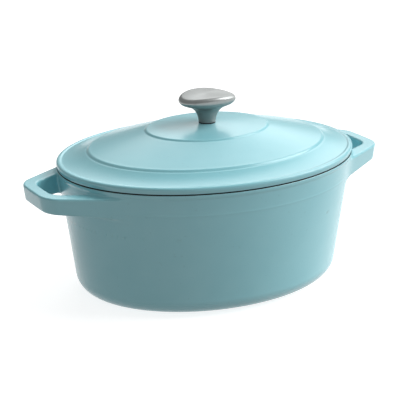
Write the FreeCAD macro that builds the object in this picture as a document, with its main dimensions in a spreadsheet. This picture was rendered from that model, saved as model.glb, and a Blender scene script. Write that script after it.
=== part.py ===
# Oval enamelled cast iron casserole with lid, two cast side handles and a
# screwed-on steel knob.  Millimetres.  +Z up, +X along the oval from handle to
# handle.  The origin is on the standing surface, under the middle of the pot.
import FreeCAD, Part
import os
import math
import Sketcher

doc = FreeCAD.newDocument("oval_casserole")
V = FreeCAD.Vector

# ------------------------------------------------------------------ sizes
sheet = doc.addObject("Spreadsheet::Sheet", "Dims")
SIZES = [
    # pot outside
    ("pot_height", 111.5, "standing surface to rim"),
    ("rim_half_len", 135.0, "outside half length at the rim"),
    ("rim_half_wid", 102.5, "outside half width at the rim"),
    ("base_half_len", 118.3, "half length of the wall line carried down to z=0"),
    ("base_half_wid", 92.3, "half width of the wall line carried down to z=0"),
    ("base_round", 16.0, "outside radius between wall and bottom"),
    ("wall_thick", 4.4, "finished wall"),
    ("floor_thick", 5.2, "finished floor above the foot ring"),
    ("cavity_round", 13.0, "inside radius between wall and floor"),
    ("foot_high", 1.2, "foot ring under the bottom"),
    ("foot_inset", 0.6, "foot ring in from the flat of the bottom"),
    ("foot_wide", 5.0, "width of the foot ring"),
    # enamel
    ("coat", 0.4, "fired enamel"),
    ("rim_coat", 0.5, "matt black enamel on the seats"),
    # cast handles
    ("grip_end", 165.6, "middle plane to handle end"),
    ("grip_top", 105.9, "flat top of the handles"),
    ("grip_thick", 12.8, "thickness at the handle end"),
    ("grip_corner", 26.1, "half width at the end, corners left sharp"),
    ("grip_splay", 31.0, "side edges against the X axis, degrees"),
    ("grip_root", 100.0, "where the handle blank starts, inside the wall"),
    ("grip_draft", 9.0, "draft of the outside faces, degrees"),
    ("grip_under", 5.0, "fall of the underside towards the wall, degrees"),
    ("grip_round", 12.0, "corner radius in plan"),
    ("hole_end", 154.8, "middle plane to the outer side of the opening"),
    ("hole_corner", 19.0, "half width of the opening there, corners sharp"),
    ("hole_splay", 27.0, "sides of the opening against the X axis, degrees"),
    ("hole_round", 6.0, "corner radius of the opening"),
    ("hole_draft", 3.0, "draft of the opening, degrees"),
    # lid
    ("lid_edge_high", 5.9, "height of the upright edge of the lid"),
    ("lid_edge_round", 2.6, "rounding on top of that edge"),
    ("lid_thick", 4.2, "finished thickness of the dome"),
    ("lip_deep", 5.0, "locating lip below the seat"),
    ("lip_play", 3.0, "gap between lip and pot wall"),
    ("lip_thick", 4.4, "finished thickness of the lip"),
    ("lip_lead", 0.6, "draft of the lip over its depth"),
    ("lid_top", 141.5, "top of the lid in the middle"),
    # knob and fastener
    ("gasket_thick", 0.8, ""), ("gasket_dia", 14.4, ""),
    ("gasket_bore", 6.6, ""),
    ("knob_top", 167.8, "highest point of the knob"),
    ("knob_arch", 105.0, "radius of the arched top, along X"),
    ("knob_edge", 2.4, "rounding of the top edge"),
    ("bore_dia", 6.14, "thread bore, taken at the outside of the thread"),
    ("bore_deep", 14.0, "depth of the bore in the knob"),
    ("lid_bore", 7.0, "clearance hole in the lid"),
    ("screw_dia", 6.0, "M6"), ("screw_long", 20.0, ""),
    ("head_dia", 12.0, ""), ("head_high", 4.2, ""),
    ("head_round", 1.6, ""), ("recess_long", 6.6, ""),
    ("recess_wide", 1.5, ""), ("recess_deep", 2.2, ""),
    ("washer_dia", 14.0, ""), ("washer_bore", 6.4, ""),
    ("washer_thick", 1.6, ""),
    ("spring_dia", 11.8, ""), ("spring_bore", 6.3, ""),
    ("spring_thick", 1.6, ""), ("spring_slit", 1.2, ""),
]
for row, (name, value, note) in enumerate(SIZES, start=1):
    sheet.set("A%d" % row, name)
    sheet.set("B%d" % row, repr(value))
    sheet.set("C%d" % row, note)
    sheet.setAlias("B%d" % row, name)
doc.recompute()
D = {name: value for name, value, note in SIZES}


def bind(obj, prop, text):
    """Tie a property to the sheet; names of cells are written plainly."""
    out = text
    for name in sorted(D, key=len, reverse=True):
        out = out.replace("#" + name, "Dims." + name)
    obj.setExpression(prop, out)
    return obj


# --------------------------------------------------- stacked oval sections
def oval(name, half_len, half_wid, height):
    e = doc.addObject("Part::Ellipse", name)
    bind(e, "MajorRadius", half_len)
    bind(e, "MinorRadius", half_wid)
    bind(e, ".Placement.Base.z", height)
    return e


def loft(name, ovals, ruled=False):
    lo = doc.addObject("Part::Loft", name)
    lo.Sections = ovals
    lo.Solid = True
    lo.Ruled = ruled
    return lo


def wall_len(height):
    return ("(#base_half_len + (#rim_half_len - #base_half_len)"
            " * (%s) / #pot_height)" % height)


def wall_wid(height):
    return ("(#base_half_wid + (#rim_half_wid - #base_half_wid)"
            " * (%s) / #pot_height)" % height)


def cut(name, base, tool):
    c = doc.addObject("Part::Cut", name)
    c.Base = base
    c.Tool = tool
    return c


def common(name, base, tool):
    c = doc.addObject("Part::Common", name)
    c.Base = base
    c.Tool = tool
    return c


def fuse(name, shapes):
    f = doc.addObject("Part::MultiFuse", name)
    f.Shapes = shapes
    return f


def slab(name, low, high):
    """A block wider than the whole piece between two heights."""
    b = doc.addObject("Part::Box", name)
    b.Length = 480
    b.Width = 360
    bind(b, "Height", "(%s) - (%s)" % (high, low))
    bind(b, ".Placement.Base.z", low)
    bind(b, ".Placement.Base.x", "-240")
    bind(b, ".Placement.Base.y", "-180")
    return b


def edges_at(shape, test):
    """Numbers of the edges whose every sampled point passes the test."""
    found = []
    for i, e in enumerate(shape.Edges, start=1):
        f, l = e.FirstParameter, e.LastParameter
        pts = [e.valueAt(f + (l - f) * k / 6.0) for k in range(7)]
        if all(test(p) for p in pts):
            found.append(i)
    return found


def rounded(name, base, test, radius):
    """Part::Fillet on the edges picked by a test on their points."""
    doc.recompute()
    ids = edges_at(base.Shape, test)
    assert ids, "no edge to round on " + name
    f = doc.addObject("Part::Fillet", name)
    f.Base = base
    f.Edges = [(i, radius, radius) for i in ids]
    return f


# ------------------------------------------------------------- pot outside
def pot_blank(tag, inset, top):
    """The oval tub without handles: straight drafted wall, round bottom."""
    low = "(#foot_high + %s)" % inset
    a = oval("pot_low_" + tag, wall_len(low) + " - " + inset,
             wall_wid(low) + " - " + inset, low)
    b = oval("pot_high_" + tag, wall_len(top) + " - " + inset,
             wall_wid(top) + " - " + inset, top)
    body = loft("pot_wall_" + tag, [a, b], ruled=True)
    doc.recompute()
    z0 = a.Placement.Base.z
    r = D["base_round"] - (D["coat"] if tag == "core" else 0.0)
    return rounded("pot_tub_" + tag, body,
                   lambda p: abs(p.z - z0) < 0.01, r)


def grip(tag, inset):
    """One cast handle on the +X side: a drafted trapezoid with an opening."""
    body = doc.addObject("PartDesign::Body", "grip_" + tag)
    planes = {o.Role: o for o in body.Origin.OriginFeatures}

    def trapezoid(name, end, corner, splay, root, height):
        sk = body.newObject("Sketcher::SketchObject", name)
        sk.AttachmentSupport = [(planes["XY_Plane"], "")]
        sk.MapMode = "FlatFace"
        bind(sk, ".AttachmentOffset.Base.z", height)
        e0, c0, r0 = D["grip_end"], 26.0, D["grip_root"]
        y1 = c0 + (e0 - r0) * math.tan(math.radians(30.0))
        P = [V(r0, -y1, 0), V(e0, -c0, 0), V(e0, c0, 0), V(r0, y1, 0)]
        for i in range(4):
            sk.addGeometry(Part.LineSegment(P[i], P[(i + 1) % 4]), False)
        for i in range(4):
            sk.addConstraint(Sketcher.Constraint("Coincident", i, 2,
                                                 (i + 1) % 4, 1))
        sk.addConstraint(Sketcher.Constraint("Symmetric", 1, 1, 1, 2, -1))
        sk.addConstraint(Sketcher.Constraint("Symmetric", 3, 1, 3, 2, -1))
        for label, con, text in (
                ("end_at", Sketcher.Constraint("DistanceX", -1, 1, 1, 1, e0),
                 end),
                ("root_at", Sketcher.Constraint("DistanceX", -1, 1, 3, 1, r0),
                 root),
                ("end_width", Sketcher.Constraint("DistanceY", 1, 1, 1, 2,
                                                  2 * c0),
                 "2 * (%s)" % corner),
                ("root_width", Sketcher.Constraint("DistanceY", 3, 2, 3, 1,
                                                   2 * y1),
                 "2 * ((%s) + ((%s) - (%s)) * tan(%s * 1deg))"
                 % (corner, end, root, splay))):
            k = sk.addConstraint(con)
            sk.renameConstraint(k, label)
            bind(sk, "Constraints." + label, text)
        return sk

    # inset faces stay parallel to the finished ones
    half = "(90 - #grip_splay) / 2"
    out_end = "(#grip_end - %s)" % inset
    out_corner = "(#grip_corner - %s * tan((%s) * 1deg))" % (inset, half)
    top = "(#grip_top - %s)" % inset
    blank = trapezoid("grip_plan_" + tag, out_end, out_corner, "#grip_splay",
                      "#grip_root", top)
    pad = body.newObject("PartDesign::Pad", "grip_pad_" + tag)
    pad.Profile = blank
    pad.Reversed = True
    bind(pad, "Length", "#grip_thick + 9")
    bind(pad, "TaperAngle", "-#grip_draft")
    doc.recompute()
    z_top = D["grip_top"] - (D["coat"] if tag == "core" else 0.0)

    # plan corners of the outside
    fil = body.newObject("PartDesign::Fillet", "grip_corners_" + tag)
    ids = edges_at(pad.Shape, lambda p: p.x > 150 and abs(p.y) > 12)
    ids = [i for i in ids
           if abs(pad.Shape.Edges[i - 1].tangentAt(
               pad.Shape.Edges[i - 1].FirstParameter).z) > 0.7]
    assert len(ids) == 2, "handle corners %s" % ids
    fil.Base = (pad, ["Edge%d" % i for i in ids])
    bind(fil, "Radius", "#grip_round - %s" % inset)
    doc.recompute()

    # sloping underside: lower towards the wall
    sk = body.newObject("Sketcher::SketchObject", "grip_under_" + tag)
    sk.AttachmentSupport = [(planes["XZ_Plane"], "")]
    sk.MapMode = "FlatFace"
    zb = z_top - D["grip_thick"]
    sl = math.tan(math.radians(D["grip_under"]))
    P = [V(95, zb - 71 * sl, 0), V(175, zb + 9 * sl, 0), V(175, 60, 0),
         V(95, 60, 0)]
    for i in range(4):
        sk.addGeometry(Part.LineSegment(P[i], P[(i + 1) % 4]), False)
    for i in range(4):
        sk.addConstraint(Sketcher.Constraint("Coincident", i, 2,
                                             (i + 1) % 4, 1))
    sk.addConstraint(Sketcher.Constraint("Vertical", 1))
    sk.addConstraint(Sketcher.Constraint("Horizontal", 2))
    sk.addConstraint(Sketcher.Constraint("Vertical", 3))
    low = "(#grip_top - #grip_thick + %s)" % inset
    for label, con, text in (
            ("out_x", Sketcher.Constraint("DistanceX", -1, 1, 1, 1, 175.0),
             "175"),
            ("in_x", Sketcher.Constraint("DistanceX", -1, 1, 0, 1, 95.0),
             "95"),
            ("floor_z", Sketcher.Constraint("DistanceY", -1, 1, 2, 1, 60.0),
             "60"),
            ("end_z", Sketcher.Constraint("DistanceY", -1, 1, 1, 1,
                                          zb + 9 * sl),
             "%s + (175 - #grip_end) * tan(#grip_under * 1deg)" % low),
            ("root_z", Sketcher.Constraint("DistanceY", -1, 1, 0, 1,
                                           zb - 71 * sl),
             "%s - (#grip_end - 95) * tan(#grip_under * 1deg)" % low)):
        k = sk.addConstraint(con)
        sk.renameConstraint(k, label)
        bind(sk, "Constraints." + label, text)
    under = body.newObject("PartDesign::Pocket", "grip_trim_" + tag)
    under.Profile = sk
    under.Type = 1            # through everything
    under.Midplane = True
    doc.recompute()

    # finger opening
    hole = trapezoid("grip_gap_plan_" + tag, "(#hole_end + %s)" % inset,
                     "(#hole_corner + %s)" % inset, "#hole_splay",
                     "#grip_root + 12", top + " + 1")
    poc = body.newObject("PartDesign::Pocket", "grip_gap_" + tag)
    poc.Profile = hole
    bind(poc, "Length", "#grip_thick + 14")
    bind(poc, "TaperAngle", "#hole_draft")
    doc.recompute()
    fil2 = body.newObject("PartDesign::Fillet", "grip_gap_corners_" + tag)
    hx = D["hole_end"]
    ids = edges_at(poc.Shape, lambda p: abs(p.x - hx) < 3.0
                   and abs(abs(p.y) - D["hole_corner"]) < 3.0)
    assert len(ids) == 2, "opening corners %s" % ids
    fil2.Base = (poc, ["Edge%d" % i for i in ids])
    bind(fil2, "Radius", "#hole_round + %s" % inset)
    doc.recompute()

    # soft top and bottom edges, outside and in the opening
    fil3 = body.newObject("PartDesign::Fillet", "grip_soft_" + tag)
    sh = fil2.Shape
    top_ids = edges_at(sh, lambda p: abs(p.z - z_top) < 0.01
                       and p.x > D["grip_root"] + 0.5)
    fil3.Base = (fil2, ["Edge%d" % i for i in top_ids])
    bind(fil3, "Radius", "1.4")
    doc.recompute()
    fil4 = body.newObject("PartDesign::Fillet", "grip_soft_low_" + tag)
    sh = fil3.Shape

    def on_under(p):
        return abs(p.z - (zb + (D["coat"] * 2 if tag == "core" else 0.0)
                          - (D["grip_end"] - p.x) * sl)) < 0.02
    low_ids = edges_at(sh, lambda p: on_under(p)
                       and p.x > D["grip_root"] + 0.5)
    fil4.Base = (fil3, ["Edge%d" % i for i in low_ids])
    bind(fil4, "Radius", "0.9")
    doc.recompute()
    body.Tip = fil4
    return body


def other_side(name, source):
    m = doc.addObject("Part::Mirroring", name)
    m.Source = source
    m.Normal = V(1, 0, 0)
    m.Base = V(0, 0, 0)
    return m


def pot_outside(tag, inset, top):
    tub = pot_blank(tag, inset, top)
    right = grip(tag, inset)
    left = other_side("grip_far_" + tag, right)
    return fuse("pot_outside_" + tag, [tub, right, left])


skin_shape = pot_outside("skin", "0", "#pot_height")
core_shape = pot_outside("core", "#coat", "(#pot_height + 6)")


# -------------------------------------------------------------- pot hollow
def pot_hollow(tag, grow):
    low = "(#foot_high + #floor_thick - %s)" % grow
    top = "(#pot_height + 8)"
    a = oval("hollow_low_" + tag,
             wall_len(low) + " - #wall_thick + " + grow,
             wall_wid(low) + " - #wall_thick + " + grow, low)
    b = oval("hollow_high_" + tag,
             wall_len(top) + " - #wall_thick + " + grow,
             wall_wid(top) + " - #wall_thick + " + grow, top)
    body = loft("hollow_wall_" + tag, [a, b], ruled=True)
    doc.recompute()
    z0 = a.Placement.Base.z
    r = D["cavity_round"] + (D["coat"] if tag == "core" else 0.0)
    return rounded("hollow_" + tag, body, lambda p: abs(p.z - z0) < 0.01, r)


hollow_skin = pot_hollow("skin", "0")
hollow_core = pot_hollow("core", "#coat")

# foot ring, ground flat
f_out = "(#base_half_len - #base_round - #foot_inset)"
f_wid = "(#base_half_wid - #base_round - #foot_inset)"
foot_top = "(#foot_high + #coat + 0.6)"
foot_disc = loft("foot_disc", [
    oval("foot_a", f_out, f_wid, "0"),
    oval("foot_b", f_out, f_wid, foot_top)], ruled=True)
foot_mid = loft("foot_mid", [
    oval("foot_c", f_out + " - #foot_wide", f_wid + " - #foot_wide", "-1"),
    oval("foot_d", f_out + " - #foot_wide", f_wid + " - #foot_wide",
         foot_top + " + 1")], ruled=True)
foot_ring = cut("foot_ring", foot_disc, foot_mid)

above_rim_coat = slab("above_rim_coat", "(#pot_height - #rim_coat)",
                      "(#pot_height + 20)")

pot_core_a = cut("pot_core_a", core_shape, hollow_core)
pot_core_b = cut("pot_core_b", pot_core_a, above_rim_coat)
pot_casting = fuse("pot_casting", [pot_core_b, foot_ring])
pot_casting.Label = "pot_casting"

skin_a = cut("skin_a", skin_shape, core_shape)
skin_b = cut("skin_b", skin_a, above_rim_coat)
skin_c = cut("skin_c", skin_b, hollow_core)
pot_outer_enamel = cut("pot_outer_enamel", skin_c, foot_disc)
pot_outer_enamel.Label = "pot_outer_enamel"

# enamel on the bottom, inside the bare foot ring
pot_base_enamel = common("pot_base_enamel", skin_c, foot_mid)
pot_base_enamel.Label = "pot_base_enamel"

lining_a = cut("lining_a", hollow_core, hollow_skin)
pot_inner_enamel = cut("pot_inner_enamel", lining_a, above_rim_coat)
pot_inner_enamel.Label = "pot_inner_enamel"

rim_a = common("rim_a", skin_shape, above_rim_coat)
pot_rim_enamel = cut("pot_rim_enamel", rim_a, hollow_skin)
pot_rim_enamel.Label = "pot_rim_enamel"

# --------------------------------------------------------------------- lid
# top of the lid: half length, half width, height.  A sloping band, then two
# low steps up to the dome and to the nearly flat middle.
BAND = [(131.4, 99.2, 117.0), (120.0, 89.9, 119.7), (108.8, 81.2, 123.6)]
DOME = [(107.0, 79.7, 124.95), (82.0, 61.6, 131.3), (56.4, 44.1, 137.3)]
CROWN = [(54.6, 42.7, 138.5), (30.0, 24.0, 140.3), (9.0, 8.6, 141.5)]
STEPS = [[(108.2, 80.7, 119.0), (108.0, 80.5, 123.7), (107.7, 80.25, 124.6),
          (107.0, 79.7, 124.95)],
         [(55.6, 43.5, 132.0), (55.4, 43.3, 137.4), (55.2, 43.15, 138.2),
          (54.6, 42.7, 138.5)]]


# the underside runs smoothly below the steps
UNDER = [(107.2, 79.9, 124.2), (82.0, 61.6, 131.2), (55.4, 43.3, 137.5),
         (30.0, 24.0, 140.2), (9.0, 8.6, 141.5)]


def lid_outside(tag, inset):
    low = "#pot_height" if tag == "skin" else "(#pot_height + #rim_coat)"
    high = "(#pot_height + #lid_edge_high - %s)" % inset
    a = oval("lid_low_" + tag, "#rim_half_len - " + inset,
             "#rim_half_wid - " + inset, low)
    b = oval("lid_high_" + tag, "#rim_half_len - " + inset,
             "#rim_half_wid - " + inset, high)
    edge = loft("lid_edge_" + tag, [a, b], ruled=True)
    doc.recompute()
    z1 = b.Placement.Base.z
    r = D["lid_edge_round"] - (D["coat"] if tag == "core" else 0.0)
    edge_r = rounded("lid_edge_soft_" + tag, edge,
                     lambda p: abs(p.z - z1) < 0.01, r)
    parts = [edge_r]
    for k, rows in (("band", BAND), ("dome", DOME), ("crown", CROWN)):
        # each loft reaches down into the one outside it
        foot = [(rows[0][0], rows[0][1], rows[0][2] - 3.5)] + rows[:1]
        parts.append(loft("lid_%s_foot_%s" % (k, tag), [
            oval("lid_%s_foot_%s_%d" % (k, tag, i), "%r - %s" % (la, inset),
                 "%r - %s" % (wi, inset), "%r - %s" % (hi, inset))
            for i, (la, wi, hi) in enumerate(foot)], ruled=True))
        parts.append(loft("lid_%s_%s" % (k, tag), [
            oval("lid_%s_%s_%d" % (k, tag, i), "%r - %s" % (la, inset),
                 "%r - %s" % (wi, inset), "%r - %s" % (hi, inset))
            for i, (la, wi, hi) in enumerate(rows)]))
    for k, rows in enumerate(STEPS):
        parts.append(loft("lid_step_%d_%s" % (k, tag), [
            oval("lid_step_%d_%s_%d" % (k, tag, i), "%r - %s" % (la, inset),
                 "%r - %s" % (wi, inset), "%r - %s" % (hi, inset))
            for i, (la, wi, hi) in enumerate(rows)], ruled=True))
    return fuse("lid_outside_" + tag, parts)


lid_skin = lid_outside("skin", "0")
lid_core = lid_outside("core", "#coat")


def lip(tag, inset):
    low = "(#pot_height - #lip_deep + %s)" % inset
    high = "#pot_height" if tag == "skin" else "(#pot_height + #rim_coat + 0.3)"
    out_l = "(#rim_half_len - #wall_thick - #lip_play - %s)" % inset
    out_w = "(#rim_half_wid - #wall_thick - #lip_play - %s)" % inset
    return loft("lip_" + tag, [
        oval("lip_low_" + tag, out_l + " - #lip_lead",
             out_w + " - #lip_lead", low),
        oval("lip_high_" + tag, out_l, out_w, high)], ruled=True)


def lid_hollow(tag, grow):
    """Everything under the dome; follows the top at the dome's thickness."""
    in_l = ("(#rim_half_len - #wall_thick - #lip_play - #lip_thick + %s)"
            % grow)
    in_w = ("(#rim_half_wid - #wall_thick - #lip_play - #lip_thick + %s)"
            % grow)
    secs = [oval("lid_in_low_" + tag, in_l, in_w,
                 "(#pot_height - #lip_deep - 1)"),
            oval("lid_in_mid_" + tag, in_l, in_w,
                 "(#pot_height + 2.2 + %s)" % grow)]
    skirt = loft("lid_in_skirt_" + tag, secs, ruled=True)
    under = [(in_l, in_w, "(#pot_height + 1.6)")]
    for la, wi, hi in UNDER:
        k = 0.0
        under.append(("(%r - %r + %s)" % (la, k, grow),
                      "(%r - %r + %s)" % (wi, k, grow),
                      "(%r - #lid_thick + %s)" % (hi, grow)))
    dome = loft("lid_in_dome_" + tag,
                [oval("lid_in_%s_%d" % (tag, i), p[0], p[1], p[2])
                 for i, p in enumerate(under)])
    return fuse("lid_hollow_" + tag, [skirt, dome])


lip_skin = lip("skin", "0")
lip_core = lip("core", "#coat")
lid_in_skin = lid_hollow("skin", "0")
lid_in_core = lid_hollow("core", "#coat")

bore = doc.addObject("Part::Cylinder", "lid_bore_cut")
bind(bore, "Radius", "#lid_bore / 2")
bind(bore, "Height", "40")
bind(bore, ".Placement.Base.z", "#lid_top - 20")

lid_core_a = fuse("lid_core_a", [lid_core, lip_core])
lid_core_b = cut("lid_core_b", lid_core_a, lid_in_core)
lid_casting = cut("lid_casting", lid_core_b, bore)
lid_casting.Label = "lid_casting"

below_lid_coat = slab("below_lid_coat", "(#pot_height - 20)",
                      "(#pot_height + #rim_coat)")
lid_out_a = cut("lid_out_a", lid_skin, lid_core)
lid_out_b = cut("lid_out_b", lid_out_a, below_lid_coat)
lid_outer_enamel = cut("lid_outer_enamel", lid_out_b, bore)
lid_outer_enamel.Label = "lid_outer_enamel"

seat_a = common("seat_a", lid_skin, below_lid_coat)
lid_rim_enamel = cut("lid_rim_enamel", seat_a, lip_core)
lid_rim_enamel.Label = "lid_rim_enamel"

lin_a = cut("lin_a", lip_core, lid_in_core)          # iron of the lip
lip_sleeve = cut("lip_sleeve", lip_skin, lip_core)
below_lip = slab("below_lip", "(#pot_height - #lip_deep - 10)",
                 "(#pot_height - #lip_deep)")
lin_b = cut("lin_b", lid_in_core, below_lip)
lin_c = fuse("lin_c", [lin_b, lip_sleeve])
lin_d = cut("lin_d", lin_c, lid_in_skin)
lin_e = cut("lin_e", lin_d, lin_a)
lid_inner_enamel = cut("lid_inner_enamel", lin_e, bore)
lid_inner_enamel.Label = "lid_inner_enamel"


# -------------------------------------------------------------------- knob
KNOB = [(7.4, 6.9, 0.8), (7.9, 7.3, 4.0), (9.3, 8.4, 8.0),
        (11.4, 10.1, 11.2), (14.6, 12.6, 13.8), (19.6, 16.0, 16.0),
        (23.9, 18.9, 17.7), (25.8, 20.4, 20.0), (26.1, 20.7, 22.6),
        (26.2, 20.8, 27.0), (26.2, 20.8, 32.0)]
knob_blank = loft("knob_blank", [
    oval("knob_%d" % i, repr(a), repr(b), "#lid_top + %r" % z)
    for i, (a, b, z) in enumerate(KNOB)])
arch = doc.addObject("Part::Cylinder", "knob_arch_block")
bind(arch, "Radius", "#knob_arch")
arch.Height = 80
arch.Placement = FreeCAD.Placement(V(0, 40, 0),
                                   FreeCAD.Rotation(V(1, 0, 0), 90))
bind(arch, ".Placement.Base.z", "#knob_top - #knob_arch")
knob_arched = common("knob_arched", knob_blank, arch)
doc.recompute()
zk = D["lid_top"] + 22.0
knob_soft = rounded("knob_soft", knob_arched,
                    lambda p: p.z > zk and max(abs(p.x) / 26.1,
                                               abs(p.y) / 20.7) > 0.6,
                    D["knob_edge"])
knob_bore = doc.addObject("Part::Cylinder", "knob_bore_cut")
bind(knob_bore, "Radius", "#bore_dia / 2")
bind(knob_bore, "Height", "#bore_deep + 5")
bind(knob_bore, ".Placement.Base.z", "#lid_top + #gasket_thick - 5")
knob = cut("knob", knob_soft, knob_bore)
knob.Label = "knob"


# --------------------------------------------- round pieces on the Z axis
def ring_body(name, outer, inner, thick, bottom):
    body = doc.addObject("PartDesign::Body", name)
    plane = [o for o in body.Origin.OriginFeatures if o.Role == "XY_Plane"][0]
    sk = body.newObject("Sketcher::SketchObject", name + "_plan")
    sk.AttachmentSupport = [(plane, "")]
    sk.MapMode = "FlatFace"
    for i, dia in enumerate((outer, inner)):
        sk.addGeometry(Part.Circle(V(0, 0, 0), V(0, 0, 1), 6.0 - 2.5 * i),
                       False)
        sk.addConstraint(Sketcher.Constraint("Coincident", i, 3, -1, 1))
        k = sk.addConstraint(Sketcher.Constraint("Diameter", i,
                                                 12.0 - 5.0 * i))
        sk.renameConstraint(k, "dia_%d" % i)
        bind(sk, "Constraints.dia_%d" % i, dia)
    pad = body.newObject("PartDesign::Pad", name + "_pad")
    pad.Profile = sk
    bind(pad, "Length", thick)
    body.Tip = pad
    bind(body, ".Placement.Base.z", bottom)
    doc.recompute()
    return body, pad


knob_gasket, _ = ring_body("knob_gasket", "#gasket_dia", "#gasket_bore",
                           "#gasket_thick", "#lid_top")
knob_gasket.Label = "knob_gasket"

under_lid = "(#lid_top - #lid_thick)"
flat_washer, _ = ring_body("flat_washer", "#washer_dia", "#washer_bore",
                           "#washer_thick", under_lid + " - #washer_thick")
flat_washer.Label = "flat_washer"

spring_low = under_lid + " - #washer_thick - #spring_thick"
spring_washer, sp_pad = ring_body("spring_washer", "#spring_dia",
                                  "#spring_bore", "#spring_thick", spring_low)
spring_washer.Label = "spring_washer"
plane = [o for o in spring_washer.Origin.OriginFeatures
         if o.Role == "XY_Plane"][0]
sk = spring_washer.newObject("Sketcher::SketchObject", "spring_slit_plan")
sk.AttachmentSupport = [(plane, "")]
sk.MapMode = "FlatFace"
P = [V(2, -0.6, 0), V(8, -0.6, 0), V(8, 0.6, 0), V(2, 0.6, 0)]
for i in range(4):
    sk.addGeometry(Part.LineSegment(P[i], P[(i + 1) % 4]), False)
for i in range(4):
    sk.addConstraint(Sketcher.Constraint("Coincident", i, 2, (i + 1) % 4, 1))
sk.addConstraint(Sketcher.Constraint("Horizontal", 0))
sk.addConstraint(Sketcher.Constraint("Horizontal", 2))
sk.addConstraint(Sketcher.Constraint("Vertical", 3))
sk.addConstraint(Sketcher.Constraint("Symmetric", 1, 1, 1, 2, -1))
for label, con, text in (
        ("slit_in", Sketcher.Constraint("DistanceX", -1, 1, 0, 1, 2.0), "2"),
        ("slit_out", Sketcher.Constraint("DistanceX", -1, 1, 0, 2, 8.0), "8"),
        ("slit_wide", Sketcher.Constraint("DistanceY", 1, 1, 1, 2, 1.2),
         "#spring_slit")):
    k = sk.addConstraint(con)
    sk.renameConstraint(k, label)
    bind(sk, "Constraints." + label, text)
slit = spring_washer.newObject("PartDesign::Pocket", "spring_slit_cut")
slit.Profile = sk
slit.Reversed = True
bind(slit, "Length", "#spring_thick + 1")
doc.recompute()
spring_washer.Tip = slit

# ------------------------------------------------------------------- screw
knob_screw = doc.addObject("PartDesign::Body", "knob_screw")
knob_screw.Label = "knob_screw"
planes = {o.Role: o for o in knob_screw.Origin.OriginFeatures}
sk = knob_screw.newObject("Sketcher::SketchObject", "screw_profile")
sk.AttachmentSupport = [(planes["XZ_Plane"], "")]
sk.MapMode = "FlatFace"
hr, sr, hh, sl_ = 6.0, 3.0, D["head_high"], D["screw_long"]
P = [V(0, 0, 0), V(hr, 0, 0), V(hr, hh, 0), V(sr, hh, 0),
     V(sr, hh + sl_ - 0.8, 0), V(sr - 0.8, hh + sl_, 0), V(0, hh + sl_, 0)]
for i in range(7):
    sk.addGeometry(Part.LineSegment(P[i], P[(i + 1) % 7]), False)
for i in range(7):
    sk.addConstraint(Sketcher.Constraint("Coincident", i, 2, (i + 1) % 7, 1))
sk.addConstraint(Sketcher.Constraint("Coincident", 0, 1, -1, 1))
sk.addConstraint(Sketcher.Constraint("Horizontal", 0))
sk.addConstraint(Sketcher.Constraint("Vertical", 1))
sk.addConstraint(Sketcher.Constraint("Horizontal", 2))
sk.addConstraint(Sketcher.Constraint("Vertical", 3))
sk.addConstraint(Sketcher.Constraint("Horizontal", 5))
sk.addConstraint(Sketcher.Constraint("Vertical", 6))
for label, con, text in (
        ("head_r", Sketcher.Constraint("DistanceX", 0, 1, 0, 2, hr),
         "#head_dia / 2"),
        ("head_h", Sketcher.Constraint("DistanceY", 1, 1, 1, 2, hh),
         "#head_high"),
        ("shank_r", Sketcher.Constraint("DistanceX", -1, 1, 3, 1, sr),
         "#screw_dia / 2"),
        ("shank_l", Sketcher.Constraint("DistanceY", 3, 1, 3, 2, sl_ - 0.8),
         "#screw_long - 0.8"),
        ("tip_r", Sketcher.Constraint("DistanceX", -1, 1, 4, 2, sr - 0.8),
         "#screw_dia / 2 - 0.8"),
        ("tip_h", Sketcher.Constraint("DistanceY", 3, 1, 4, 2, sl_),
         "#screw_long")):
    k = sk.addConstraint(con)
    sk.renameConstraint(k, label)
    bind(sk, "Constraints." + label, text)
rev = knob_screw.newObject("PartDesign::Revolution", "screw_turned")
rev.Profile = sk
rev.ReferenceAxis = (sk, ["V_Axis"])
rev.Angle = 360
doc.recompute()
head_soft = knob_screw.newObject("PartDesign::Fillet", "screw_head_soft")
ids = edges_at(rev.Shape, lambda p: abs(p.z) < 0.01
               and math.hypot(p.x, p.y) > 5.0)
head_soft.Base = (rev, ["Edge%d" % i for i in ids])
bind(head_soft, "Radius", "#head_round")
doc.recompute()
last = head_soft
for n, (lx, ly) in enumerate((("#recess_long", "#recess_wide"),
                              ("#recess_wide", "#recess_long"))):
    sk = knob_screw.newObject("Sketcher::SketchObject", "recess_plan_%d" % n)
    sk.AttachmentSupport = [(planes["XY_Plane"], "")]
    sk.MapMode = "FlatFace"
    wx, wy = (3.3, 0.75) if n == 0 else (0.75, 3.3)
    P = [V(-wx, -wy, 0), V(wx, -wy, 0), V(wx, wy, 0), V(-wx, wy, 0)]
    for i in range(4):
        sk.addGeometry(Part.LineSegment(P[i], P[(i + 1) % 4]), False)
    for i in range(4):
        sk.addConstraint(Sketcher.Constraint("Coincident", i, 2,
                                             (i + 1) % 4, 1))
    sk.addConstraint(Sketcher.Constraint("Horizontal", 0))
    sk.addConstraint(Sketcher.Constraint("Horizontal", 2))
    sk.addConstraint(Sketcher.Constraint("Vertical", 1))
    sk.addConstraint(Sketcher.Constraint("Symmetric", 0, 1, 1, 2, -1, 1))
    for label, con, text in (
            ("span_x", Sketcher.Constraint("DistanceX", 0, 1, 0, 2, 2 * wx),
             lx),
            ("span_y", Sketcher.Constraint("DistanceY", 1, 1, 1, 2, 2 * wy),
             ly)):
        k = sk.addConstraint(con)
        sk.renameConstraint(k, label)
        bind(sk, "Constraints." + label, text)
    rec = knob_screw.newObject("PartDesign::Pocket", "recess_%d" % n)
    rec.Profile = sk
    rec.Reversed = True
    bind(rec, "Length", "#recess_deep")
    doc.recompute()
    last = rec
knob_screw.Tip = last
bind(knob_screw, ".Placement.Base.z", spring_low + " - #head_high")

doc.recompute()

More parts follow.
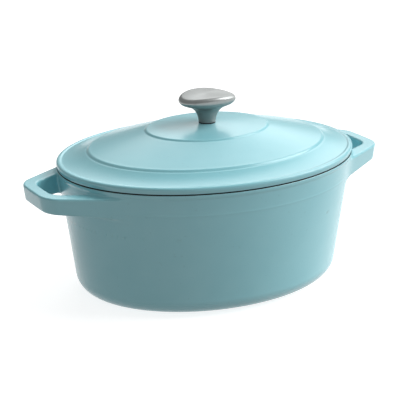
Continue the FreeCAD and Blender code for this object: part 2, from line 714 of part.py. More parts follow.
# ------------------------------------------------------- check and write
NODES = [pot_casting, pot_outer_enamel, pot_base_enamel, pot_inner_enamel,
         pot_rim_enamel,
         lid_casting, lid_outer_enamel, lid_inner_enamel, lid_rim_enamel,
         knob, knob_gasket, flat_washer, spring_washer, knob_screw]

bad = []
for o in doc.Objects:
    if "Invalid" in o.State or "Error" in o.State:
        bad.append("%s %s" % (o.Name, o.State))
for o in NODES:
    s = o.Shape
    if s.isNull() or not s.isValid() or not s.Solids:
        bad.append("%s shape" % o.Label)
    elif len(s.Solids) != 1:
        bad.append("%s has %d solids" % (o.Label, len(s.Solids)))
for o in NODES:
    s = o.Shape
    b = s.optimalBoundingBox(False)
    print("%-18s solids %d faces %3d volume %10.1f  x %.2f..%.2f  "
          "y %.2f..%.2f  z %.2f..%.2f" % (
              o.Label, len(s.Solids), len(s.Faces), s.Volume, b.XMin,
              b.XMax, b.YMin, b.YMax, b.ZMin, b.ZMax))
if bad:
    raise RuntimeError("; ".join(bad))

os.makedirs("parts", exist_ok=True)
for o in NODES:
    o.Shape.exportStep("parts/%s.step" % o.Label)
print("wrote %d nodes" % len(NODES))
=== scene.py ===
import math

import bmesh
import bpy
import numpy as np
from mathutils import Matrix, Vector


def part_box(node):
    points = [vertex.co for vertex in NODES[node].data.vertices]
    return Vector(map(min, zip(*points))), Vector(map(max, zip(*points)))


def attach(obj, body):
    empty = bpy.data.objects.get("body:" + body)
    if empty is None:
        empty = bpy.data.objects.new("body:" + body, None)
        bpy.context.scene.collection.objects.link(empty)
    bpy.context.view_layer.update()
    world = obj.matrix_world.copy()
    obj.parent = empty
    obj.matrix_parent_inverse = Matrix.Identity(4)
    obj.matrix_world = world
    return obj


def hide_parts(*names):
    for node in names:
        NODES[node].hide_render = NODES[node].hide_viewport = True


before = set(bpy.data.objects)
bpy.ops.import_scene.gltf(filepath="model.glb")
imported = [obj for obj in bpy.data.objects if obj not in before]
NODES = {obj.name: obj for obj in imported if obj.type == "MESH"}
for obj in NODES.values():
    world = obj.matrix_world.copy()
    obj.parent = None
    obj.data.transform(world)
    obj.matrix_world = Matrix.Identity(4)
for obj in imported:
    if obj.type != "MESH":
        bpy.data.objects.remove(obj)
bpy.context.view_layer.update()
scene = bpy.context.scene
scene.view_settings.view_transform = "Standard"

# ------------------------------------------------------------------ sizes, mm
RIM_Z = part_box("pot_rim_enamel")[1].z * 1000          # 111.5
SEAT_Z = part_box("pot_rim_enamel")[0].z * 1000         # 111.0
LID_Z0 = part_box("lid_outer_enamel")[0].z * 1000       # 112.0
LID_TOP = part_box("lid_outer_enamel")[1].z * 1000      # 141.5
RIM_A, RIM_B = 135.0, 102.5
LOW_A, LOW_B = 118.3, 92.3
FOOT_Z = 1.2
BASE_R = 16.0
SLOPE_A = (RIM_A - LOW_A) / 111.5
SLOPE_B = (RIM_B - LOW_B) / 111.5
GRIP_T, GRIP_THICK, GRIP_END = 105.9, 13.7, 165.6


# ------------------------------------------------------------ mesh utilities
def build(name, verts, faces, body, material, ridge_r=0.5, smooth=True,
          sharp=None):
    """A mesh piece from millimetre points, with edge and hollow attributes."""
    me = bpy.data.meshes.new(name)
    verts = np.asarray(verts, float)
    me.from_pydata((verts * 0.001).tolist(), [], [tuple(f) for f in faces])
    me.validate()
    bm = bmesh.new()
    bm.from_mesh(me)
    bmesh.ops.recalc_face_normals(bm, faces=bm.faces[:])
    bm.to_mesh(me)
    bm.free()
    me.update()
    if smooth:
        me.polygons.foreach_set("use_smooth", [True] * len(me.polygons))
    if sharp is not None:
        me.set_sharp_from_angle(angle=math.radians(sharp))
    marks(me, ridge_r)
    ob = bpy.data.objects.new(name, me)
    scene.collection.objects.link(ob)
    me.materials.append(material)
    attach(ob, body)
    return ob


def marks(me, ridge_r):
    """ridge: 1 on tight convex edges, pool: 1 in tight hollows."""
    n = len(me.vertices)
    co = np.zeros(n * 3)
    me.vertices.foreach_get("co", co)
    co = co.reshape(-1, 3) * 1000
    no = np.zeros(n * 3)
    me.vertices.foreach_get("normal", no)
    no = no.reshape(-1, 3)
    ed = np.zeros(len(me.edges) * 2, np.int64)
    me.edges.foreach_get("vertices", ed)
    ed = ed.reshape(-1, 2)
    i, j = ed[:, 0], ed[:, 1]
    d = co[j] - co[i]
    l2 = (d * d).sum(1) + 1e-9
    k_i = -2 * (d * no[i]).sum(1) / l2
    k_j = 2 * (d * no[j]).sum(1) / l2
    kap = np.full(n, -9.0)
    low = np.full(n, 9.0)
    np.maximum.at(kap, i, k_i)
    np.maximum.at(kap, j, k_j)
    np.minimum.at(low, i, k_i)
    np.minimum.at(low, j, k_j)
    ridge = np.clip((kap - 0.12) * ridge_r, 0, 1)
    pool = np.clip((-low - 0.06) * 1.6, 0, 1)
    plain = (co[:, 2] > 22) & (co[:, 2] < 83)      # straight wall: no edges there
    ridge[plain] = 0
    pool[plain] = 0
    deg = np.bincount(ed.ravel(), minlength=n) + 1.0
    for _ in range(2):
        for arr in (ridge, pool):
            s = arr.copy()
            np.add.at(s, i, arr[j])
            np.add.at(s, j, arr[i])
            arr[:] = s / deg
    for label, arr in (("ridge", ridge), ("pool", pool)):
        at = me.attributes.new(label, "FLOAT", "POINT")
        at.data.foreach_set("value", arr.astype(np.float32))


def sweep(profile, segments=320, closed=True, caps=False):
    """Points (half length, half width, height) swept round the oval."""
    profile = np.asarray(profile, float)
    m = len(profile)
    t = np.linspace(0, 2 * math.pi, segments, endpoint=False)
    V = np.stack([profile[:, 0, None] * np.cos(t),
                  profile[:, 1, None] * np.sin(t),
                  np.repeat(profile[:, 2, None], segments, 1)], -1)
    V = V.reshape(-1, 3)
    F = []
    rows = m if closed else m - 1
    nxt = np.roll(np.arange(segments), -1)
    idx = np.arange(segments)
    for r in range(rows):
        a, b = r * segments, ((r + 1) % m) * segments
        F.append(np.stack([a + idx, a + nxt, b + nxt, b + idx], 1))
    F = np.concatenate(F).tolist()
    if caps:
        V = np.vstack([V, [[0, 0, profile[0, 2]], [0, 0, profile[-1, 2]]]])
        c0, c1 = len(V) - 2, len(V) - 1
        e = (m - 1) * segments
        F += [[c0, nxt[k], idx[k]] for k in range(segments)]
        F += [[c1, e + idx[k], e + nxt[k]] for k in range(segments)]
    return V, F


def soften(rows, seg=5):
    """A line of (half length, half width, height, round) with soft corners."""
    out = []
    for k, row in enumerate(rows):
        P, d = np.array(row[:3], float), row[3]
        if d <= 0 or k == 0 or k == len(rows) - 1:
            out.append(P)
            continue
        A, C = np.array(rows[k - 1][:3], float), np.array(rows[k + 1][:3], float)
        la = np.linalg.norm((A - P)[[0, 2]])
        lc = np.linalg.norm((C - P)[[0, 2]])
        S = P + (A - P) * min(d, 0.48 * la) / la
        E = P + (C - P) * min(d, 0.48 * lc) / lc
        for u in np.linspace(0, 1, seg + 1):
            out.append((1 - u) ** 2 * S + 2 * u * (1 - u) * P + u * u * E)
    return out


def through(P0, P1, P2, n, ends=False):
    """Points on the parabola through three rows."""
    P0, P1, P2 = (np.array(p, float) for p in (P0, P1, P2))
    la, lb = np.linalg.norm(P1 - P0), np.linalg.norm(P2 - P1)
    m = la / (la + lb)
    u = np.linspace(0, 1, n + 1)
    if not ends:
        u = u[1:-1]
    out = []
    for s in u:
        out.append(P0 * (s - m) * (s - 1) / m
                   + P1 * s * (s - 1) / (m * (m - 1))
                   + P2 * s * (s - m) / (1 - m))
    return [tuple(p) + (0,) for p in out]


def thicken(outer, t):
    """Closed profile: the outer line and the same line t mm inside it."""
    outer = np.asarray(outer, float)
    d = np.gradient(outer, axis=0)
    ln = np.hypot(d[:, 0], d[:, 2]) + 1e-9
    nr, nz = d[:, 2] / ln, -d[:, 0] / ln
    inner = outer - np.stack([nr, nr, nz], 1) * t
    return np.vstack([outer, inner[::-1]])


# ------------------------------------------------------------------ materials
def lin(r, g, b):
    return tuple(((c / 255 + 0.055) / 1.055) ** 2.4 if c > 10 else c / 3295
                 for c in (r, g, b)) + (1.0,)


class Mat:
    def __init__(self, name):
        self.m = bpy.data.materials.new(name)
        self.m.use_nodes = True
        self.nt = self.m.node_tree
        self.nt.nodes.clear()
        self.out = self.add("ShaderNodeOutputMaterial")
        self.p = self.add("ShaderNodeBsdfPrincipled")
        self.nt.links.new(self.p.outputs[0], self.out.inputs[0])
        self.tc = self.add("ShaderNodeTexCoord")

    def add(self, kind, **kw):
        n = self.nt.nodes.new(kind)
        for k, v in kw.items():
            setattr(n, k, v)
        return n

    def link(self, a, b):
        self.nt.links.new(a, b)

    def put(self, **kw):
        for k, v in kw.items():
            self.p.inputs[k.replace("_", " ")].default_value = v

    def mapped(self, scale=(1, 1, 1)):
        mp = self.add("ShaderNodeMapping")
        mp.inputs["Scale"].default_value = scale
        self.link(self.tc.outputs["Object"], mp.inputs["Vector"])
        return mp.outputs[0]

    def noise(self, scale, detail=3.0, rough=0.5, vec=None, dist=0.0):
        n = self.add("ShaderNodeTexNoise")
        n.inputs["Scale"].default_value = scale
        n.inputs["Detail"].default_value = detail
        n.inputs["Roughness"].default_value = rough
        n.inputs["Distortion"].default_value = dist
        self.link(vec or self.tc.outputs["Object"], n.inputs["Vector"])
        return n.outputs["Fac"]

    def spots(self, scale, size, soft):
        """1 in small round specks, 0 elsewhere."""
        v = self.add("ShaderNodeTexVoronoi")
        v.inputs["Scale"].default_value = scale
        self.link(self.tc.outputs["Object"], v.inputs["Vector"])
        return self.span(v.outputs["Distance"], size, size + soft, 1, 0)

    def span(self, src, a, b, lo, hi):
        n = self.add("ShaderNodeMapRange")
        for k, v in zip(("From Min", "From Max", "To Min", "To Max"),
                        (a, b, lo, hi)):
            n.inputs[k].default_value = v
        self.link(src, n.inputs["Value"])
        return n.outputs[0]

    def math(self, op, a, b):
        n = self.add("ShaderNodeMath", operation=op)
        for k, v in enumerate((a, b)):
            if isinstance(v, (int, float)):
                n.inputs[k].default_value = v
            else:
                self.link(v, n.inputs[k])
        return n.outputs[0]

    def mix(self, fac, a, b):
        n = self.add("ShaderNodeMix", data_type="RGBA")
        self.link(fac, n.inputs[0])
        for sock, v in ((n.inputs[6], a), (n.inputs[7], b)):
            if isinstance(v, tuple):
                sock.default_value = v
            else:
                self.link(v, sock)
        return n.outputs[2]

    def attr(self, name):
        n = self.add("ShaderNodeAttribute")
        n.attribute_name = name
        return n.outputs["Fac"]

    def bump(self, layers):
        """layers: (height, strength, distance in metres)."""
        last = None
        for h, s, d in layers:
            b = self.add("ShaderNodeBump")
            b.inputs["Strength"].default_value = s
            b.inputs["Distance"].default_value = d
            self.link(h, b.inputs["Height"])
            if last is not None:
                self.link(last, b.inputs["Normal"])
            last = b.outputs[0]
        self.link(last, self.p.inputs["Normal"])


def enamel(name, body, deep, thin, edge, rough=(0.20, 0.30), coat=0.5,
           speck=lin(110, 140, 146), spec=0.5):
    """Fired glass coat: slow colour drift, thin on edges, pooled in hollows."""
    m = Mat(name)
    slow = m.span(m.noise(9.0, 3.0, 0.55), 0.3, 0.7, 0, 1)
    c = m.mix(slow, deep, body)
    mid = m.span(m.noise(70.0, 3.0, 0.5), 0.35, 0.7, 0, 0.10)
    c = m.mix(mid, c, thin)
    pool = m.span(m.attr("pool"), 0.0, 1.0, 0.0, 0.45)
    c = m.mix(pool, c, deep)
    brk = m.span(m.noise(160.0, 3.0, 0.6), 0.3, 0.65, 0.35, 1.0)
    rid = m.math("MULTIPLY", m.span(m.attr("ridge"), 0.12, 0.85, 0.0, 0.5), brk)
    c = m.mix(rid, c, edge)
    c = m.mix(m.span(m.noise(340.0, 1.0), 0.70, 0.78, 0, 0.10), c, speck)
    m.link(c, m.p.inputs["Base Color"])
    m.put(IOR=1.5, Coat_Weight=coat, Coat_Roughness=0.09,
          Specular_IOR_Level=spec,
          Roughness=(rough[0] + rough[1]) / 2)
    m.bump([(m.noise(26.0, 1.0, 0.4), 0.25, 0.0007),
            (m.noise(160.0, 1.0, 0.4), 0.06, 0.00010)])
    return m.m


def cast_iron(name):
    m = Mat(name)
    c = m.mix(m.span(m.noise(60.0, 5.0, 0.6), 0.3, 0.7, 0, 1),
              lin(58, 57, 58), lin(84, 82, 80))
    c = m.mix(m.span(m.noise(14.0, 4.0, 0.7), 0.56, 0.7, 0, 0.5), c,
              lin(96, 74, 58))
    c = m.mix(m.span(m.attr("ridge"), 0.1, 0.9, 0, 0.6), c, lin(140, 138, 134))
    m.link(c, m.p.inputs["Base Color"])
    m.link(m.span(m.noise(220.0, 4.0), 0.3, 0.7, 0.42, 0.62),
           m.p.inputs["Roughness"])
    m.put(Metallic=0.85)
    m.bump([(m.noise(420.0, 5.0, 0.6), 0.5, 0.00025)])
    return m.m


def steel(name, tone, grain, rough=(0.24, 0.36), aniso=0.55, dark=0.86,
          under=None, metal=1.0):
    """Brushed stainless steel; grain gives the direction of the scratches. With under,
    painted shade: below that height span the colour is mixed halfway to a darker grey.
    """
    m = Mat(name)
    fine = m.noise(1.0, 4.0, 0.65, vec=m.mapped(grain))
    wide = m.noise(1.0, 3.0, 0.6, vec=m.mapped(tuple(g * 0.22 for g in grain)))
    shade = tuple(c * dark for c in tone[:3]) + (1.0,)
    c = m.mix(m.span(fine, 0.3, 0.7, 0, 1), shade, tone)
    c = m.mix(m.span(wide, 0.35, 0.65, 0, 0.5), c, shade)
    c = m.mix(m.span(m.noise(48.0, 4.0, 0.6), 0.55, 0.75, 0, 0.25), c,
              tuple(v * 0.75 for v in tone[:3]) + (1.0,))
    c = m.mix(m.span(m.attr("ridge"), 0.1, 0.9, 0, 0.5), c,
              tuple(min(1, v * 1.15) for v in tone[:3]) + (1.0,))
    # painted shade: the knob's stem and the underside of its head are darkened towards
    # the bottom
    if under:
        z = m.add("ShaderNodeSeparateXYZ")
        m.link(m.tc.outputs["Object"], z.inputs[0])
        low = m.span(z.outputs[2], under[0], under[1], 0.5, 0.0)
        c = m.mix(low, c, lin(140, 137, 134))
    m.link(c, m.p.inputs["Base Color"])
    r = m.math("ADD", m.span(fine, 0.25, 0.75, rough[0], rough[1]),
               m.span(m.noise(35.0, 3.0), 0.3, 0.7, -0.02, 0.05))
    m.link(r, m.p.inputs["Roughness"])
    m.put(Metallic=metal, Anisotropic=aniso)
    m.bump([(fine, 0.30, 0.00006), (wide, 0.18, 0.00009)])
    return m.m


def rubber(name):
    m = Mat(name)
    c = m.mix(m.noise(300.0, 4.0), lin(34, 34, 35), lin(52, 52, 53))
    m.link(c, m.p.inputs["Base Color"])
    m.link(m.span(m.noise(500.0, 3.0), 0.3, 0.7, 0.55, 0.75),
           m.p.inputs["Roughness"])
    m.bump([(m.noise(1500.0, 3.0), 0.3, 0.00004)])
    return m.m


BLUE = enamel("duck_egg_enamel", lin(146, 208, 217), lin(138, 202, 212),
              lin(156, 213, 220), lin(166, 214, 219), coat=0.15)
CREAM = enamel("cream_enamel", lin(236, 230, 214), lin(226, 218, 199),
               lin(240, 235, 221), lin(226, 220, 206), rough=(0.16, 0.24),
               speck=lin(150, 140, 122))
BLACK = enamel("black_enamel", lin(22, 22, 24), lin(16, 16, 18),
               lin(28, 28, 30), lin(40, 39, 38), rough=(0.5, 0.66), coat=0.0,
               speck=lin(46, 45, 44), spec=0.2)
IRON = cast_iron("bare_iron")
# the knob steel carries painted shade on its lower part through under=(0.1588, 0.1625)
KNOB_STEEL_SHADED_BELOW = steel("brushed_knob_steel_painted_shade_below", lin(170, 174, 173), (260, 260, 12),
                   rough=(0.32, 0.44), under=(0.1588, 0.1625), metal=0.72)
NUT_STEEL = steel("fastener_steel", lin(178, 179, 180), (300, 300, 300),
                  rough=(0.26, 0.4), aniso=0.2)
GASKET = rubber("gasket_rubber")


# ------------------------------------------------- pot outside with handles
def inter(a, b, r):
    """Round intersection of two solids given as distances."""
    u, v = np.maximum(a + r, 0), np.maximum(b + r, 0)
    return np.minimum(np.maximum(a, b), -r) + np.hypot(u, v)


def blend(a, b, k):
    """Union with a soft valley k mm wide."""
    h = np.maximum(k - np.abs(a - b), 0) / k
    return np.minimum(a, b) - h ** 3 * k / 6


def wall(x, y, z):
    a = LOW_A + SLOPE_A * z
    b = LOW_B + SLOPE_B * z
    q = np.sqrt((x / a) ** 2 + (y / b) ** 2) + 1e-9
    g = np.sqrt((x / a ** 2) ** 2 + (y / b ** 2) ** 2) + 1e-9
    d = q * (q - 1) / g * 0.99
    # narrow lip under the rim, and the faint line where the mould parted
    lip = 0.55 / (1 + np.exp(-(z - 107.9) / 0.28))
    part = 0.16 * np.exp(-((z - 92.7) / 0.7) ** 2)
    return d - lip - part


def plan(x, y, end, corner, splay, r):
    s, c = math.sin(math.radians(splay)), math.cos(math.radians(splay))
    return inter(x - end, (x - end) * s + (y - corner) * c, r)


def grip(x, y, z):
    drop = GRIP_T - z
    bow = 0.45 * (y / 22.0) ** 2
    out = plan(x + bow - 0.45, y, GRIP_END, 26.1, 31.0, 10.0)
    out = (out + drop * math.tan(math.radians(9.0))) * 0.988
    gap = plan(x + 0.35 * (y / 16.0) ** 2, y, 154.8, 19.0, 27.0, 7.0)
    gap = gap + (drop - 1.0) * math.tan(math.radians(5.0))
    body = np.maximum(out, -gap)
    t5 = math.radians(5.0)
    under = (GRIP_T - GRIP_THICK - (GRIP_END - x) * math.tan(t5) - z) * math.cos(t5)
    body = inter(body, z - GRIP_T, 1.9)
    body = inter(body, under, 1.5)
    return np.maximum(body, 100.0 - x)


def pot(P):
    x, y, z = np.abs(P[..., 0]), np.abs(P[..., 1]), P[..., 2]
    return blend(wall(x, y, z), grip(x, y, z), 6.5)


def slope(f, P, h=0.02):
    g = np.zeros_like(P)
    for k in range(3):
        e = np.zeros(3)
        e[k] = h
        g[..., k] = (f(P + e) - f(P - e)) / (2 * h)
    return g


def nets(f, xs, ys, zs):
    """Surface nets on a box grid with uneven spacing: points and quads."""
    X, Y, Z = np.meshgrid(xs, ys, zs, indexing="ij")
    F = f(np.stack([X, Y, Z], -1))
    S = F < 0
    nx, ny, nz = F.shape
    cnt = np.zeros((nx - 1, ny - 1, nz - 1), np.int8)
    for i in (0, 1):
        for j in (0, 1):
            for k in (0, 1):
                cnt += S[i:nx - 1 + i, j:ny - 1 + j, k:nz - 1 + k]
    act = (cnt > 0) & (cnt < 8)
    ci = np.argwhere(act)
    idx = -np.ones(act.shape, np.int64)
    idx[act] = np.arange(len(ci))
    acc = np.zeros((len(ci), 3))
    num = np.zeros(len(ci))
    G = (xs, ys, zs)
    for ax in range(3):
        others = [k for k in range(3) if k != ax]
        for u in (0, 1):
            for v in (0, 1):
                a = ci.copy()
                a[:, others[0]] += u
                a[:, others[1]] += v
                b = a.copy()
                b[:, ax] += 1
                fa, fb = F[tuple(a.T)], F[tuple(b.T)]
                hit = (fa < 0) != (fb < 0)
                t = fa / np.where(hit, fa - fb, 1)
                p = np.stack([G[k][a[:, k]] for k in range(3)], 1).astype(float)
                p[:, ax] += (G[ax][b[:, ax]] - G[ax][a[:, ax]]) * t
                acc[hit] += p[hit]
                num[hit] += 1
    V = acc / num[:, None]
    Q = []
    for ax in range(3):
        o1, o2 = [k for k in range(3) if k != ax]
        lo = [slice(None)] * 3
        hi = [slice(None)] * 3
        lo[ax], hi[ax] = slice(0, -1), slice(1, None)
        flip = S[tuple(lo)] != S[tuple(hi)]
        e = np.argwhere(flip)
        e = e[(e[:, o1] > 0) & (e[:, o2] > 0)
              & (e[:, o1] < F.shape[o1] - 1) & (e[:, o2] < F.shape[o2] - 1)]
        inside = S[tuple(e.T)]
        quad = []
        for u, v in ((1, 1), (0, 1), (0, 0), (1, 0)):
            c = e.copy()
            c[:, o1] -= u
            c[:, o2] -= v
            quad.append(idx[tuple(c.T)])
        quad = np.stack(quad, 1)
        turn = inside if ax != 1 else ~inside
        quad[~turn] = quad[~turn][:, ::-1]
        Q.append(quad)
    return V, np.concatenate(Q)


def steps(pairs):
    """Grid lines from (from, to, spacing) runs."""
    out = []
    for a, b, h in pairs:
        n = max(1, int(round((b - a) / h)))
        out += list(a + (b - a) * np.arange(n) / n)
    out.append(pairs[-1][1])
    return np.array(out)


def pot_outside():
    z_low = 72.0
    xs = steps([(-1.6, 1.6, 3.2), (1.6, 94.0, 3.2), (94.0, 168.0, 0.95)])
    ys = steps([(-0.45, 0.45, 0.9), (0.45, 72.0, 0.95), (72.0, 105.5, 2.6)])
    zs = steps([(z_low - 1, z_low + 1, 2.0), (z_low + 1, 84.0, 1.5),
                (84.0, 91.0, 0.9), (91.0, 94.4, 0.55), (94.4, 104.0, 0.9),
                (104.0, 110.7, 0.55), (110.7, 111.3, 0.6)])
    V, Q = nets(pot, xs, ys, zs)
    top = V[:, 2] > 110.7
    low = V[:, 2] < z_low + 1
    V[top, 2] = SEAT_Z
    V[low, 2] = z_low
    onx = V[:, 0] < 1.6
    ony = V[:, 1] < 0.45
    V[onx, 0] = 0
    V[ony, 1] = 0
    edge = top | low
    ed = np.unique(np.sort(np.concatenate(
        [Q[:, [0, 1]], Q[:, [1, 2]], Q[:, [2, 3]], Q[:, [3, 0]]]), 1), axis=0)
    deg = np.bincount(ed.ravel(), minlength=len(V)).astype(float)

    def project(V, times):
        for _ in range(times):
            g = slope(pot, V)
            g[edge, 2] = 0
            g[onx, 0] = 0
            g[ony, 1] = 0
            f = pot(V)
            st = f / ((g * g).sum(1) + 1e-9)
            V = V - g * np.clip(st, -0.6, 0.6)[:, None]
        return V

    V = project(V, 4)
    for _ in range(8):
        s = np.zeros_like(V)
        np.add.at(s, ed[:, 0], V[ed[:, 1]])
        np.add.at(s, ed[:, 1], V[ed[:, 0]])
        d = s / deg[:, None] - V
        g = slope(pot, V)
        g /= np.linalg.norm(g, axis=1)[:, None] + 1e-9
        d -= g * (d * g).sum(1)[:, None]
        d[edge] = 0
        d[onx, 0] = 0
        d[ony, 1] = 0
        V = project(V + 0.5 * d, 1)
    V = project(V, 2)

    # four quarters, joined on the two middle planes
    allv, allq = [], []
    for sx in (1, -1):
        for sy in (1, -1):
            q = Q if sx * sy > 0 else Q[:, ::-1]
            allq.append(q + len(V) * len(allv))
            allv.append(V * [sx, sy, 1])
    W, R = np.concatenate(allv), np.concatenate(allq)
    key = np.round(W, 5) + 0.0
    _, first, inv = np.unique(key, axis=0, return_index=True,
                              return_inverse=True)
    inv = inv.ravel()
    W, R = W[first], inv[R]

    # plain tapered tub below, one column for each point of the lower edge
    ring = np.where(W[:, 2] == z_low)[0]
    a0, b0 = LOW_A + SLOPE_A * z_low, LOW_B + SLOPE_B * z_low
    t = np.arctan2(W[ring, 1] / b0, W[ring, 0] / a0)
    order = np.argsort(t)
    ring, t = ring[order], t[order]
    W[ring, 0], W[ring, 1] = a0 * np.cos(t), b0 * np.sin(t)
    rows = []
    zc = FOOT_Z + BASE_R
    al, be = math.atan(SLOPE_A), math.atan(SLOPE_B)
    ca = LOW_A + SLOPE_A * zc - BASE_R / math.cos(al)
    cb = LOW_B + SLOPE_B * zc - BASE_R / math.cos(be)
    za = zc - BASE_R * math.sin(al)
    for z in np.linspace(z_low, za, 24)[1:-1]:
        rows.append((LOW_A + SLOPE_A * z, LOW_B + SLOPE_B * z, z))
    for u in np.linspace(0, 1, 22):
        ta = -al - (math.pi / 2 - al) * u
        tb = -be - (math.pi / 2 - be) * u
        rows.append((ca + BASE_R * math.cos(ta), cb + BASE_R * math.cos(tb),
                     zc + BASE_R * math.sin(ta)))
    rows.append((103.2, 76.7, FOOT_Z))
    rows.append((101.75, 75.75, FOOT_Z))
    prev = ring
    nring = len(ring)
    newv, newq = [], []
    base = len(W)
    for k, (a, b, z) in enumerate(rows):
        newv.append(np.stack([a * np.cos(t), b * np.sin(t),
                              np.full(nring, z)], 1))
        cur = base + k * nring + np.arange(nring)
        newq.append(np.stack([cur, np.roll(cur, -1), np.roll(prev, -1), prev], 1))
        prev = cur
    W = np.concatenate([W] + newv)
    R = np.concatenate([R] + newq)

    # inner face of the coat and the two narrow edges that close it
    e1, e2, e3 = W[R[:, 1]] - W[R[:, 0]], W[R[:, 2]] - W[R[:, 0]], W[R[:, 3]] - W[R[:, 0]]
    fn = np.cross(e1, e2) + np.cross(e2, e3)
    vn = np.zeros_like(W)
    for k in range(4):
        np.add.at(vn, R[:, k], fn)
    vn /= np.linalg.norm(vn, axis=1)[:, None] + 1e-12
    I = W - vn * 0.4
    topm = W[:, 2] == SEAT_Z
    I[topm, 2] = SEAT_Z
    n = len(W)
    half = np.concatenate([R[:, [0, 1]], R[:, [1, 2]], R[:, [2, 3]], R[:, [3, 0]]])
    code = half[:, 0] * n + half[:, 1]
    back = half[:, 1] * n + half[:, 0]
    rimh = half[~np.isin(code, back)]
    side = np.stack([rimh[:, 1], rimh[:, 0], rimh[:, 0] + n, rimh[:, 1] + n], 1)
    return (np.concatenate([W, I]),
            np.concatenate([R, R[:, ::-1] + n, side]).tolist())


V, F = pot_outside()
pot_shell = build("pot_shell", V, F, "pot", BLUE)
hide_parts("pot_outer_enamel")

# bare foot ring, ground flat underneath
foot = soften([(101.7, 75.7, 1.6, 0), (101.7, 75.7, 0.0, 0.35),
               (96.7, 70.7, 0.0, 0.35), (96.7, 70.7, 1.6, 0)], 4)
V, F = sweep(foot, 320)
pot_foot = build("pot_foot_ring", V, F, "pot", IRON)
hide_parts("pot_casting")

# ------------------------------------------------------------------ lid top
lid_rows = [(134.6, 102.1, LID_Z0, 0), (135.0, 102.5, LID_Z0, 0.35),
            (135.9, 103.3, 115.2, 1.2), (135.2, 102.6, 117.1, 1.25),
            (132.7, 100.25, 117.75, 1.1), (131.1, 98.9, 117.15, 0.9)]
lid_rows += through((130.2, 98.15, 117.25), (120.0, 89.9, 119.7),
                    (109.9, 82.1, 123.40), 16, ends=True)
lid_rows += [(109.0, 81.35, 123.55, 1.2), (107.1, 79.8, 125.25, 1.5)]
lid_rows += through((105.0, 78.1, 125.62), (82.0, 61.6, 131.3),
                    (57.5, 45.0, 137.15), 26, ends=True)
lid_rows += [(56.7, 44.4, 137.3, 1.1), (54.9, 42.9, 138.75, 1.4)]
lid_rows += through((52.9, 41.3, 138.82), (30.0, 24.0, 140.3),
                    (9.0, 8.6, LID_TOP), 20, ends=True)
lid_rows += [(6.0, 5.9, LID_TOP, 0), (3.5, 3.5, LID_TOP, 0)]
V, F = sweep(thicken(soften(lid_rows), 0.32), 384)
lid_top = build("lid_top", V, F, "lid", BLUE)
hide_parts("lid_outer_enamel")


# --------------------------------------------------------------------- knob
def knob_mesh():
    K0 = LID_TOP
    sec = np.array([(7.4, 6.9, .8), (7.9, 7.3, 4), (9.3, 8.4, 8),
                    (11.4, 10.1, 11.2), (14.6, 12.6, 13.8), (19.6, 16, 16),
                    (23.9, 18.9, 17.7), (25.8, 20.4, 20), (26.1, 20.7, 22.6),
                    (26.15, 20.75, 27)])
    arc = np.concatenate([[0], np.cumsum(np.linalg.norm(np.diff(sec, axis=0), axis=1))])
    tan = np.gradient(sec, arc, axis=0)

    def at(s):
        k = int(np.clip(np.searchsorted(arc, s) - 1, 0, len(sec) - 2))
        h = arc[k + 1] - arc[k]
        u = (s - arc[k]) / h
        return ((2 * u ** 3 - 3 * u ** 2 + 1) * sec[k]
                + (u ** 3 - 2 * u ** 2 + u) * h * tan[k]
                + (3 * u ** 2 - 2 * u ** 3) * sec[k + 1]
                + (u ** 3 - u ** 2) * h * tan[k + 1])
    dense = np.array([at(s) for s in np.linspace(0, arc[-1], 400)])
    n = 176
    t = np.linspace(0, 2 * math.pi, n, endpoint=False)
    ct, st = np.cos(t), np.sin(t)
    R, TOP, E = 105.0, 167.8, 3.3

    def arch(x):
        return TOP - (R - np.sqrt(R * R - x * x))
    rings = []
    for r, z in ((1.2, 14.8), (2.75, 14.8), (3.07, 14.5), (3.07, 9.0),
                 (3.07, 1.5), (3.5, 0.8)):
        rings.append(np.stack([r * ct, r * st, np.full(n, K0 + z)], 1))
    rings.append(np.stack([6.95 * ct, 6.45 * st, np.full(n, K0 + .8)], 1))
    body = dense[(dense[:, 2] <= 18.2) & (dense[:, 2] > 1.0)]
    ln = np.concatenate([[0], np.cumsum(np.linalg.norm(np.diff(body, axis=0), axis=1))])
    pick = np.array([[np.interp(s, ln, body[:, k]) for k in range(3)]
                     for s in np.linspace(0, ln[-1], 46)])
    for a, b, z in pick:
        rings.append(np.stack([a * ct, b * st, np.full(n, K0 + z)], 1))
    z1 = K0 + pick[-1, 2]
    ze = arch(26.1 * ct) - E
    for v in np.linspace(0, 1, 9)[1:]:
        z = z1 + (ze - z1) * v
        a = np.interp(z - K0, dense[:, 2], dense[:, 0])
        b = np.interp(z - K0, dense[:, 2], dense[:, 1])
        rings.append(np.stack([a * ct, b * st, z], 1))
    A = np.interp(ze - K0, dense[:, 2], dense[:, 0])
    B = np.interp(ze - K0, dense[:, 2], dense[:, 1])
    rad = np.hypot(A * ct, B * st)
    for ph in np.radians(np.linspace(0, 90, 9)[1:]):
        k = 1 - E * (1 - math.cos(ph)) / rad
        x, y = A * ct * k, B * st * k
        rings.append(np.stack([x, y, arch(x) - E * (1 - math.sin(ph))], 1))
    last = rings[-1]
    for v in np.linspace(1, 0, 16)[1:-1]:
        x, y = last[:, 0] * v, last[:, 1] * v
        rings.append(np.stack([x, y, arch(x)], 1))
    V = np.concatenate(rings + [[[0, 0, K0 + 14.8]], [[0, 0, TOP]]])
    idx = np.arange(n)
    nxt = np.roll(idx, -1)
    F = []
    for r in range(len(rings) - 1):
        a, b = r * n, (r + 1) * n
        F += np.stack([a + idx, a + nxt, b + nxt, b + idx], 1).tolist()
    c0, c1, e = len(V) - 2, len(V) - 1, (len(rings) - 1) * n
    F += [[c0, int(nxt[k]), int(idx[k])] for k in range(n)]
    F += [[c1, int(e + idx[k]), int(e + nxt[k])] for k in range(n)]
    return V, F


V, F = knob_mesh()
knob = build("knob_body", V, F, "lid", KNOB_STEEL_SHADED_BELOW, sharp=50)
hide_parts("knob")

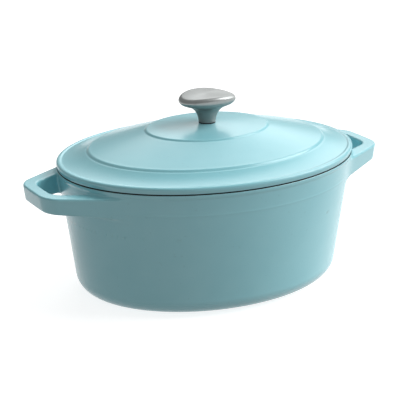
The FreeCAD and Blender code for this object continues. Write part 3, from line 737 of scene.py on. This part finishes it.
# ------------------------------------------- pieces kept from the CAD model
for node, material in (("pot_base_enamel", BLUE), ("pot_inner_enamel", CREAM),
                       ("pot_rim_enamel", BLACK), ("lid_casting", IRON),
                       ("lid_inner_enamel", CREAM), ("lid_rim_enamel", BLACK),
                       ("knob_gasket", GASKET), ("flat_washer", NUT_STEEL),
                       ("spring_washer", NUT_STEEL),
                       ("knob_screw", NUT_STEEL)):
    me = NODES[node].data
    me.materials.clear()
    me.materials.append(material)

# -------------------------------------------------------- floor, light, view
fm = bpy.data.meshes.new("floor")
fm.from_pydata([(-14, -14, -0.0003), (14, -14, -0.0003), (14, 14, -0.0003),
                (-14, 14, -0.0003)], [], [(0, 1, 2, 3)])
floor = bpy.data.objects.new("floor", fm)
scene.collection.objects.link(floor)
fmat = Mat("pale_floor")
fmat.link(fmat.mix(fmat.noise(3.0, 3.0), lin(176, 177, 178), lin(186, 186, 186)),
          fmat.p.inputs["Base Color"])
fmat.put(Roughness=0.9, Specular_IOR_Level=0.1,
         Emission_Color=(1, 1, 1, 1), Emission_Strength=0.80)
fm.materials.append(fmat.m)
floor.visible_diffuse = False      # the bounce on the object comes from the world

world = bpy.data.worlds.new("studio")
world.use_nodes = True
scene.world = world
wn = world.node_tree
wn.nodes.clear()
w_out = wn.nodes.new("ShaderNodeOutputWorld")
w_bg = wn.nodes.new("ShaderNodeBackground")
w_tc = wn.nodes.new("ShaderNodeTexCoord")
w_dot = wn.nodes.new("ShaderNodeVectorMath")
w_dot.operation = "DOT_PRODUCT"
w_dot.inputs[1].default_value = (0.50, 0.63, 0.594)
w_map = wn.nodes.new("ShaderNodeMapRange")
w_map.interpolation_type = "SMOOTHSTEP"
for k, v in zip(("From Min", "From Max", "To Min", "To Max"), (0.886, 0.985, 0.35, 2.5)):
    w_map.inputs[k].default_value = v
wn.links.new(w_tc.outputs["Generated"], w_dot.inputs[0])
wn.links.new(w_dot.outputs["Value"], w_map.inputs["Value"])
w_sep = wn.nodes.new("ShaderNodeSeparateXYZ")
wn.links.new(w_tc.outputs["Generated"], w_sep.inputs[0])
w_low = wn.nodes.new("ShaderNodeMapRange")
w_low.interpolation_type = "SMOOTHSTEP"
for k, v in zip(("From Min", "From Max", "To Min", "To Max"), (-0.35, 0.12, 0.78, 1.0)):
    w_low.inputs[k].default_value = v
wn.links.new(w_sep.outputs["Z"], w_low.inputs["Value"])
w_mul = wn.nodes.new("ShaderNodeMath")
w_mul.operation = "MULTIPLY"
wn.links.new(w_map.outputs[0], w_mul.inputs[0])
wn.links.new(w_low.outputs[0], w_mul.inputs[1])
wn.links.new(w_mul.outputs[0], w_bg.inputs["Strength"])
w_bg.inputs["Color"].default_value = (1, 1, 1, 1)
wn.links.new(w_bg.outputs[0], w_out.inputs[0])

sun_data = bpy.data.lights.new("key", "SUN")
sun_data.energy = 3.1
sun_data.angle = math.radians(48)
sun = bpy.data.objects.new("key", sun_data)
scene.collection.objects.link(sun)
sun.rotation_mode = "QUATERNION"
sun.rotation_quaternion = Vector((0.795, -0.26, 0.548)).to_track_quat("Z", "Y")

AZ, EL = math.radians(-29.65), math.radians(17.78)
back = Vector((math.sin(AZ) * math.cos(EL), -math.cos(AZ) * math.cos(EL),
               math.sin(EL)))
cam_data = bpy.data.cameras.new("camera")
cam_data.lens = 129.4
cam_data.sensor_width = 36.0
cam_data.shift_x = -0.0177
cam_data.shift_y = -0.0533
cam = bpy.data.objects.new("camera", cam_data)
scene.collection.objects.link(cam)
cam.location = Vector((0, 0, 0.090)) + back * 1.2596
cam.rotation_mode = "QUATERNION"
cam.rotation_quaternion = (-back).to_track_quat("-Z", "Y")
cam_data.clip_start, cam_data.clip_end = 0.05, 60
scene.camera = cam
